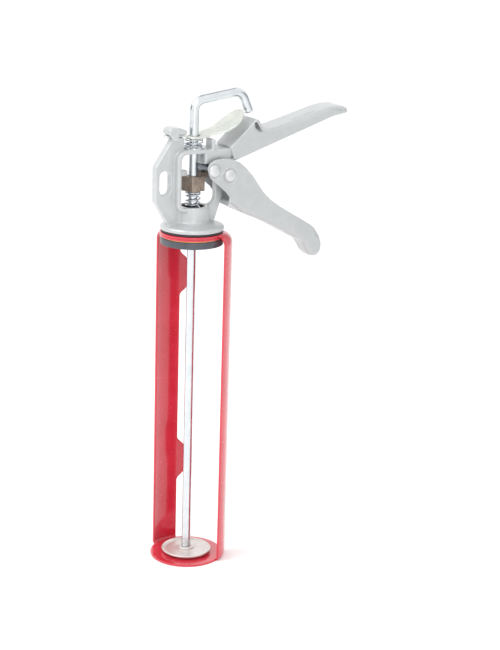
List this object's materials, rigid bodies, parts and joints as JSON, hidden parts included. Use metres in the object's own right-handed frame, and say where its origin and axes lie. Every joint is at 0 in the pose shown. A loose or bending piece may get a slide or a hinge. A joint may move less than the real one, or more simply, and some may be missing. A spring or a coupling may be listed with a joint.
{
  "type": "caulking gun",
  "caption": "Hand caulking gun with an open turning cradle, a hooked push rod, a thumb release and a squeeze trigger under a channel handle.",
  "frame": {"origin": "on the push rod's axis, in the underside of the cradle's front plate, the centre of the nozzle hole", "axes": "+Z along the push rod towards its hook, +X towards the handle and the trigger"},
  "size_m": [0.1417, 0.0528, 0.33],
  "materials": {
    "red_enamel": "gloss",
    "silver_enamel": "satin metallic",
    "slate_enamel": "satin",
    "black_washer": "matte",
    "brass_washer": "satin",
    "spring_wire": "bright drawn wire",
    "sintered_steel": "matte, oiled",
    "pale_zinc": "satin plated",
    "zinc_rod": "zinc plated",
    "warm_plate": "satin plated",
    "rivet_steel": "satin",
    "dark_steel": "satin"
  },
  "bodies": {
    "body": {"body_frame": "silver_enamel", "fixed_handle": "silver_enamel", "retaining_disc": "slate_enamel", "brass_washer": "brass_washer", "friction_washer": "black_washer", "spring_cup": "black_washer", "spring_seat": "black_washer", "pivot_rivet": "rivet_steel", "pivot_bushes": "dark_steel", "return_spring": "spring_wire", "release_spring": "spring_wire"},
    "cradle": {"cradle_front": "red_enamel", "rail_left": "red_enamel", "rail_right": "red_enamel"},
    "rod": {"push_rod": "zinc_rod", "push_disc": "warm_plate", "disc_boss": "zinc_rod", "disc_rivet": "zinc_rod"},
    "trigger": {"trigger": "silver_enamel", "drive_rivet": "rivet_steel", "drive_sleeve": "dark_steel"},
    "block": {"drive_block": "sintered_steel"},
    "lever": {"release_lever": "pale_zinc"}
  },
  "joints": [
    {"name": "cradle_spin", "type": "hinge", "parent": "body", "child": "cradle", "pos_m": [0, 0, 0], "axis": [0, 0, 1], "continuous": true},
    {"name": "rod_slide", "type": "slide", "parent": "body", "child": "rod", "axis": [0, 0, 1], "range_m": [0, 0.215]},
    {"name": "trigger_hinge", "type": "hinge", "parent": "body", "child": "trigger", "pos_m": [0.0214, 0, 0.2733], "axis": [0, -1, 0], "range_deg": [0, 32], "stiffness_Nm_per_rad": 0.6, "springref_deg": -20.05},
    {"name": "block_slide", "type": "slide", "parent": "body", "child": "block", "axis": [0, 0, -1], "range_m": [0, 0.0069], "deforming": ["return_spring"]},
    {"name": "lever_hinge", "type": "hinge", "parent": "body", "child": "lever", "pos_m": [-0.015, 0, 0.2995], "axis": [0, 1, 0], "range_deg": [0, 2], "stiffness_Nm_per_rad": 1, "springref_deg": -5.73, "deforming": ["release_spring"]}
  ],
  "couplings": [
    {"joint": "block_slide", "follows": "trigger_hinge", "m_per_rad": 0.01214}
  ]
}
